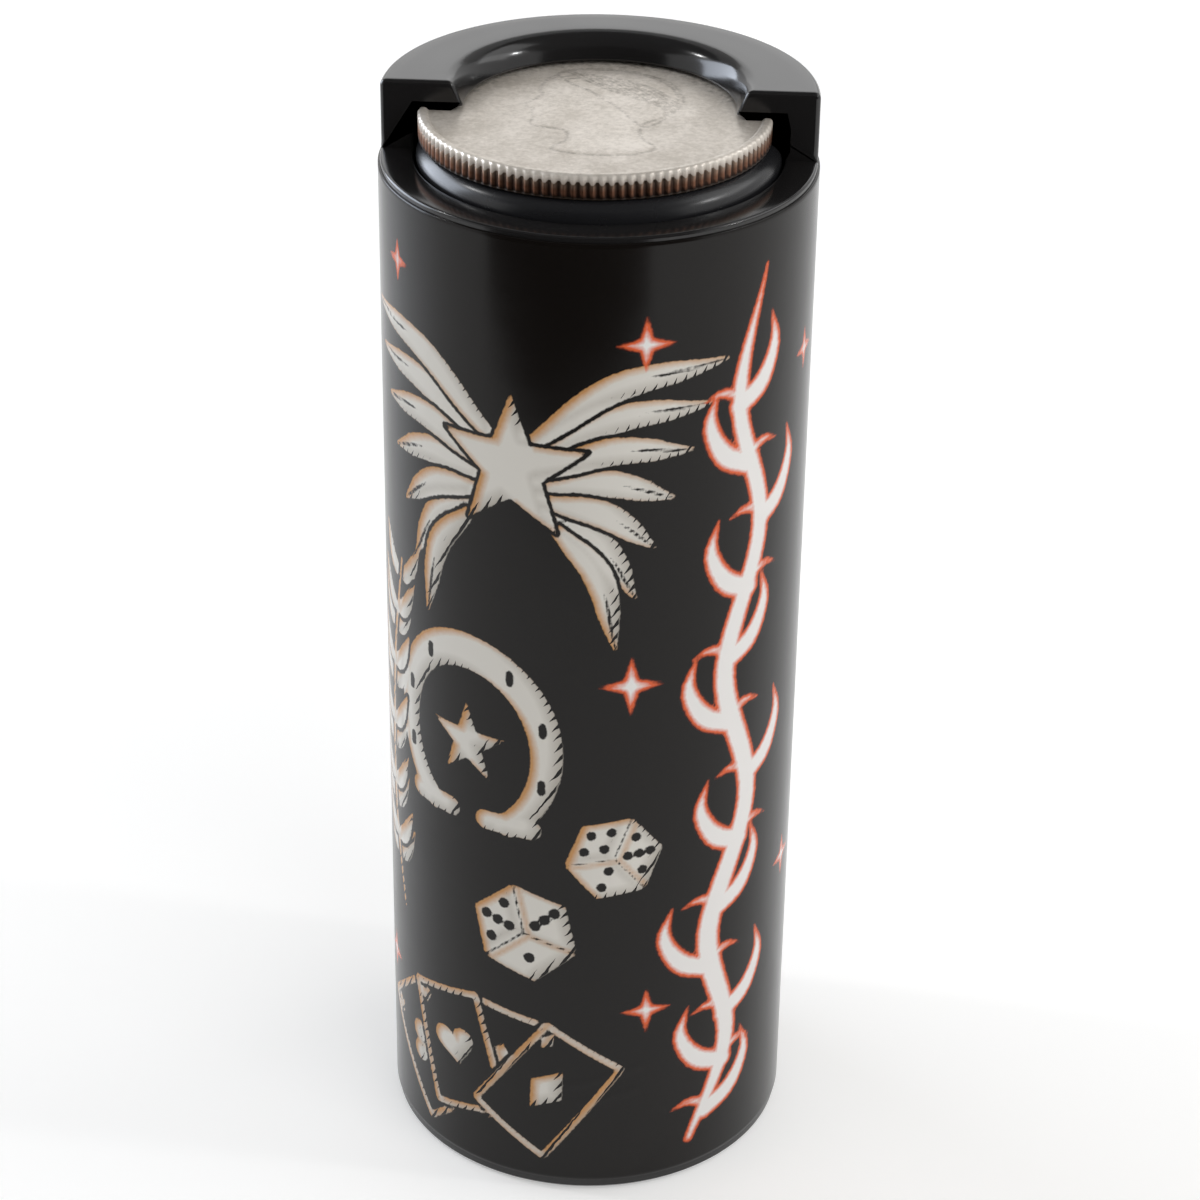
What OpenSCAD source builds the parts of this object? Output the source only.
// Coin tube: a sprung follower lifts a stack of coins against a half-round lip.
// The top coin slides out to the front, along -Y. Up is +Z, and the foot stands on Z = 0.

/* [Coin] */
// Diameter of the coin
coin_d = 24.26; // [20:0.01:30]
// Thickness of the coin over its raised rims
coin_t = 1.75; // [1.5:0.01:2]
// Thickness of each outer cladding
cladding_t = 0.29; // [0.25:0.01:0.4]
// Width of the raised rim round each face
coin_rim_w = 0.7; // [0.5:0.1:1.6]
// Depth of the face below its raised rim
coin_field_depth = 0.2; // [0.05:0.01:0.22]
// How far the coin has settled to the left in its bore
coin_left = 0.3; // [0:0.05:0.4]
// How far behind the axis the coin has settled
coin_back = 0.35; // [0:0.05:0.45]
// Air above and below the coin, so that it slides
coin_play = 0.05; // [0.02:0.01:0.1]

/* [Tube] */
// Height from the foot to the top of the lip
tube_h = 83; // [70:0.5:110]
// Air between the coin and the bore that it stands in
coin_air = 0.57; // [0.55:0.01:1]
// Wall of the tube
tube_wall = 2.3; // [1.6:0.1:4]
// Chamfer round the foot
foot_chamfer = 0.4; // [0.1:0.1:0.8]

/* [Lip] */
// Thickness of the lip over the coin
lip_t = 1.8; // [1.4:0.1:2.6]
// Rounding of the outer edge at the top of the lip
lip_edge_r = 0.6; // [0.2:0.1:1]
// How far in front of the axis the lip ends
lip_forward = 0.3; // [0:0.1:2]
// Drop from the coin to the low front rim, which bares the follower's edge
rim_below_coin = 1.3; // [0.1:0.05:1.8]
// How far the lip reaches over the coin at each side of the thumb opening
lip_grip = 2.83; // [2:0.01:3.6]
// How much wider the thumb opening's radius is at the top of the lip
thumb_flare = 0.75; // [0:0.05:1.5]
// How far behind the axis the thumb opening is centred
thumb_back = 0.5; // [0:0.1:1.5]

/* [Follower] */
// Air between the follower and the bore
follower_air = 0.16; // [0.1:0.01:0.6]
// Height of the follower over its skirt
follower_h = 7; // [5:0.5:9]
// Rounding of the follower's top edge
follower_edge_r = 0.9; // [0.4:0.1:1.5]
// Thickness of the follower's top
follower_top_t = 1.8; // [1.6:0.1:2.4]
// Wall of the follower's skirt
follower_wall = 1.64; // [1:0.01:2]

/* [Spring] */
// Diameter of the spring wire
wire_d = 0.9; // [0.6:0.05:1]
// Air between the spring and the follower's skirt
spring_air = 1.3; // [0.6:0.1:2]
// Number of curls
spring_curls = 12; // [8:1:14]
// How much closer the end curls lie, as a share of the mean pitch
end_curl_share = 0.2; // [0:0.05:0.4]

/* [Base plug] */
// Recess of the plug above the foot
plug_recess = 0.4; // [0.2:0.1:1]
// Width of the step in the bore that the plug's flange seats on
flange_step = 0.6; // [0.4:0.1:1]
// Thickness of the plug's flange
flange_t = 1.6; // [1.2:0.1:2.4]
// Height of the plug that is pressed into the bore
plug_h = 2.4; // [1.8:0.1:4]
// Air between the spring and the boss that centres it
boss_air = 0.85; // [0.4:0.05:2]
// Height of the boss that centres the spring
boss_h = 2.5; // [1.5:0.1:4]
// Width of the flat ring round the hollow under the plug
plug_ring_w = 6.5; // [3:0.5:8]
// Depth of the hollow under the plug
hollow_h = 1.2; // [0.6:0.1:1.8]

/* [Label] */
// Thickness of the printed film
label_t = 0.15; // [0.1:0.01:0.3]
// Bare band of tube between the front rim and the label
label_top_gap = 0.4; // [0.3:0.05:3]
// Bare band of tube between the foot and the label
label_foot_gap = 1; // [0.9:0.1:4]
// Width of the open seam where the label's two edges meet
seam_w = 0.5; // [0.2:0.1:1.5]
// Turn of the seam from the right-hand side, in degrees
seam_turn = 105; // [60:1:120]

/* [Hidden] */
$fn = 96;
// Overrun of every cut past the face that it opens
overrun = 1;

// Diameters follow outwards from the coin, and inwards again to the spring.
bore_d = coin_d + 2 * coin_air;
tube_d = bore_d + 2 * tube_wall;
flange_d = bore_d + 2 * flange_step;
hollow_d = flange_d - 2 * plug_ring_w;
thumb_d = coin_d - 2 * lip_grip;
follower_d = bore_d - 2 * follower_air;
skirt_bore_d = follower_d - 2 * follower_wall;
spring_d = skirt_bore_d - 2 * spring_air - wire_d;
boss_d = spring_d - wire_d - 2 * boss_air;

// Heights follow down from the lip, and up from the foot.
rim_drop = lip_t + coin_t + rim_below_coin;
rim_z = tube_h - rim_drop;
lip_under_z = tube_h - lip_t;
flange_seat_z = plug_recess + flange_t;
plug_top_z = flange_seat_z + plug_h;

// The coin lies on the follower, which presses it up against the lip.
coin_top_z = lip_under_z - coin_play;
follower_top_z = coin_top_z - coin_t - coin_play;
follower_ceiling_z = follower_top_z - follower_top_t;

// The spring is swept with this many rings to a curl and sides to a ring.
rings_per_curl = 8;
wire_sides = 6;
spring_r = spring_d / 2;
spring_rings = spring_curls * rings_per_curl;
// The leg at each end of the wire runs straight for one wire diameter,
// and the first ring of the coil lies half a diameter past it.
leg_turn = wire_d / spring_r * 180 / PI;
coil_low_z = plug_top_z + 1.5 * wire_d;
coil_high_z = follower_ceiling_z - 1.5 * wire_d;

// Share of the coil's height that is reached at a share u of its length
function coil_rise(u) = u - end_curl_share * sin(360 * u) / (2 * PI);

function on_circle(turn, z) = [spring_r * cos(turn), spring_r * sin(turn), z];

function coil_point(u) =
    on_circle(360 * spring_curls * u, coil_low_z + (coil_high_z - coil_low_z) * coil_rise(u));

// The wire stands on the plug and ends under the follower's ceiling.
head_turn = 360 * spring_curls + leg_turn;
spring_path = concat(
    [on_circle(-leg_turn, plug_top_z), on_circle(-leg_turn, plug_top_z + wire_d)],
    [for (i = [0 : spring_rings]) coil_point(i / spring_rings)],
    [on_circle(head_turn, follower_ceiling_z - wire_d), on_circle(head_turn, follower_ceiling_z)]);

function unit(v) = v / norm(v);

// Direction of the wire at a ring, from the points before and after it
function wire_way(path, i) = unit(path[min(i + 1, len(path) - 1)] - path[max(i - 1, 0)]);

// One ring of the wire, square to its direction, counted from the outside of the coil
function wire_ring(path, i) =
    let(way = wire_way(path, i))
    let(side = unit(cross(way, [path[i][0], path[i][1], 0])))
    let(out = cross(side, way))
    [for (k = [0 : wire_sides - 1])
        path[i] + wire_d / 2 * (cos(360 * k / wire_sides) * out + sin(360 * k / wire_sides) * side)];

// Least air between two curls, measured between points of the wire's middle line
curl_gaps = [for (i = [0 : len(spring_path) - 1 - rings_per_curl / 2])
    for (j = [i + rings_per_curl / 2 : len(spring_path) - 1])
        norm(spring_path[j] - spring_path[i]) - wire_d];
echo(least_gap_between_curls_mm = min(curl_gaps));

// Round drum with its top edge rounded
module rounded_drum(d, h, edge_r) {
    rotate_extrude() {
        square([d / 2 - edge_r, h]);
        square([d / 2, h - edge_r]);
        translate([d / 2 - edge_r, h - edge_r])
            circle(r = edge_r);
    }
}

// Everything above the low rim, in front of the lip
module front_opening() {
    translate([-tube_d, -2 * tube_d, rim_z])
        cube([2 * tube_d, 2 * tube_d - lip_forward, rim_drop + overrun]);
}

// The opening in the lip flares upwards, so that its wall slopes down to the coin.
module thumb_opening() {
    slope = thumb_flare / lip_t;
    translate([0, thumb_back, lip_under_z - overrun])
        cylinder(h = lip_t + 2 * overrun, d1 = thumb_d - 2 * slope * overrun,
            d2 = thumb_d + 2 * slope * (lip_t + overrun));
}

module foot_edge() {
    difference() {
        translate([0, 0, -overrun])
            cylinder(h = overrun + foot_chamfer, d = tube_d + 2 * overrun);
        cylinder(h = foot_chamfer, d1 = tube_d - 2 * foot_chamfer, d2 = tube_d);
        translate([0, 0, -overrun])
            cylinder(h = overrun, d = tube_d - 2 * foot_chamfer);
    }
}

module tube_body() {
    color([0.07, 0.07, 0.075])
        difference() {
            rounded_drum(tube_d, tube_h, lip_edge_r);
            translate([0, 0, -overrun])
                cylinder(h = lip_under_z + overrun, d = bore_d);
            translate([0, 0, -overrun])
                cylinder(h = flange_seat_z + overrun, d = flange_d);
            front_opening();
            thumb_opening();
            foot_edge();
        }
}

module base_plug() {
    color([0.12, 0.12, 0.13])
        difference() {
            union() {
                translate([0, 0, plug_recess])
                    cylinder(h = flange_t, d = flange_d);
                translate([0, 0, flange_seat_z])
                    cylinder(h = plug_h, d = bore_d);
                translate([0, 0, plug_top_z])
                    cylinder(h = boss_h, d = boss_d);
            }
            translate([0, 0, plug_recess - overrun])
                cylinder(h = hollow_h + overrun, d = hollow_d);
        }
}

module label_wrap() {
    label_h = rim_z - label_top_gap - label_foot_gap;
    color([0.05, 0.05, 0.055])
        translate([0, 0, label_foot_gap])
            difference() {
                cylinder(h = label_h, d = tube_d + 2 * label_t);
                translate([0, 0, -overrun])
                    cylinder(h = label_h + 2 * overrun, d = tube_d);
                rotate([0, 0, seam_turn])
                    translate([0, -seam_w / 2, -overrun])
                        cube([tube_d, seam_w, label_h + 2 * overrun]);
            }
}

module spring() {
    rings = len(spring_path);
    last = (rings - 1) * wire_sides;
    points = [for (i = [0 : rings - 1]) each wire_ring(spring_path, i)];
    skin = [for (i = [0 : rings - 2]) for (k = [0 : wire_sides - 1])
        let(a = i * wire_sides + k)
        let(b = i * wire_sides + (k + 1) % wire_sides)
        each [[a, a + wire_sides, b], [b, a + wire_sides, b + wire_sides]]];
    foot_end = [for (k = [1 : wire_sides - 2]) [0, k, k + 1]];
    head_end = [for (k = [1 : wire_sides - 2]) [last, last + k + 1, last + k]];
    color([0.72, 0.73, 0.75])
        polyhedron(points = points, faces = concat(skin, foot_end, head_end));
}

module follower() {
    color([0.09, 0.09, 0.1])
        translate([0, 0, follower_top_z - follower_h])
            difference() {
                rounded_drum(follower_d, follower_h, follower_edge_r);
                translate([0, 0, -overrun])
                    cylinder(h = follower_h - follower_top_t + overrun, d = skirt_bore_d);
            }
}

// One layer of the coin, from a depth under its top rim
module coin_layer(depth, t) {
    translate([-coin_left, coin_back, coin_top_z - depth - t])
        cylinder(h = t, d = coin_d);
}

// The hollow of one face, inside its raised rim
module coin_field(depth, t) {
    translate([-coin_left, coin_back, coin_top_z - depth - t])
        cylinder(h = t, d = coin_d - 2 * coin_rim_w);
}

module coin_core() {
    color([0.55, 0.33, 0.22])
        coin_layer(cladding_t, coin_t - 2 * cladding_t);
}

module coin_top_cladding() {
    color([0.78, 0.76, 0.73])
        difference() {
            coin_layer(0, cladding_t);
            coin_field(-overrun, overrun + coin_field_depth);
        }
}

module coin_bottom_cladding() {
    color([0.78, 0.76, 0.73])
        difference() {
            coin_layer(coin_t - cladding_t, cladding_t);
            coin_field(coin_t - coin_field_depth, coin_field_depth + overrun);
        }
}

tube_body();
base_plug();
label_wrap();
spring();
follower();
coin_core();
coin_top_cladding();
coin_bottom_cladding();
